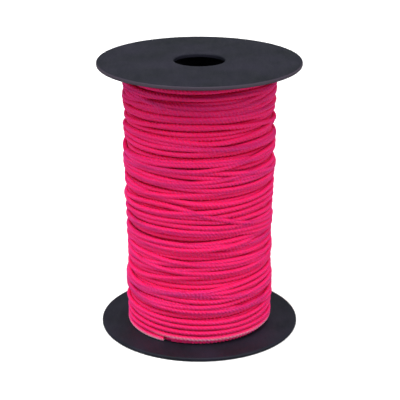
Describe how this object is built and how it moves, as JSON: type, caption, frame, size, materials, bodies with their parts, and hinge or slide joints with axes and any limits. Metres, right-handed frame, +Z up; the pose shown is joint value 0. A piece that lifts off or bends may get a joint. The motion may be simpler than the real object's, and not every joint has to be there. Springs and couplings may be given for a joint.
{
  "type": "fishing line spool",
  "caption": "Upright black plastic spool with thin flat round flanges and a plain round arbor hole, wound nearly full with hot pink twisted twine.",
  "frame": {"origin": "centre of the lower flange's outer face, on the spool's axis", "axes": "+Z up the spool's axis from the lower flange to the upper one; -Y is the side towards the viewer; +X to the viewer's right"},
  "size_m": [0.1016, 0.1016, 0.1397],
  "materials": {
    "bottom_flange": "satin moulded, charcoal black",
    "top_flange": "satin moulded, charcoal black",
    "core_barrel": "satin moulded, charcoal black",
    "cord_winding": "three-strand twisted synthetic twine, hot pink, slight sheen",
    "cord_outer_end": "three-strand twisted synthetic twine, hot pink, slight sheen",
    "cord_inner_end": "three-strand twisted synthetic twine, hot pink, slight sheen"
  },
  "bodies": {
    "root": {"bottom_flange": "bottom_flange", "top_flange": "top_flange", "core_barrel": "core_barrel", "cord_winding": "cord_winding", "cord_outer_end": "cord_outer_end", "cord_inner_end": "cord_inner_end"}
  },
  "joints": []
}
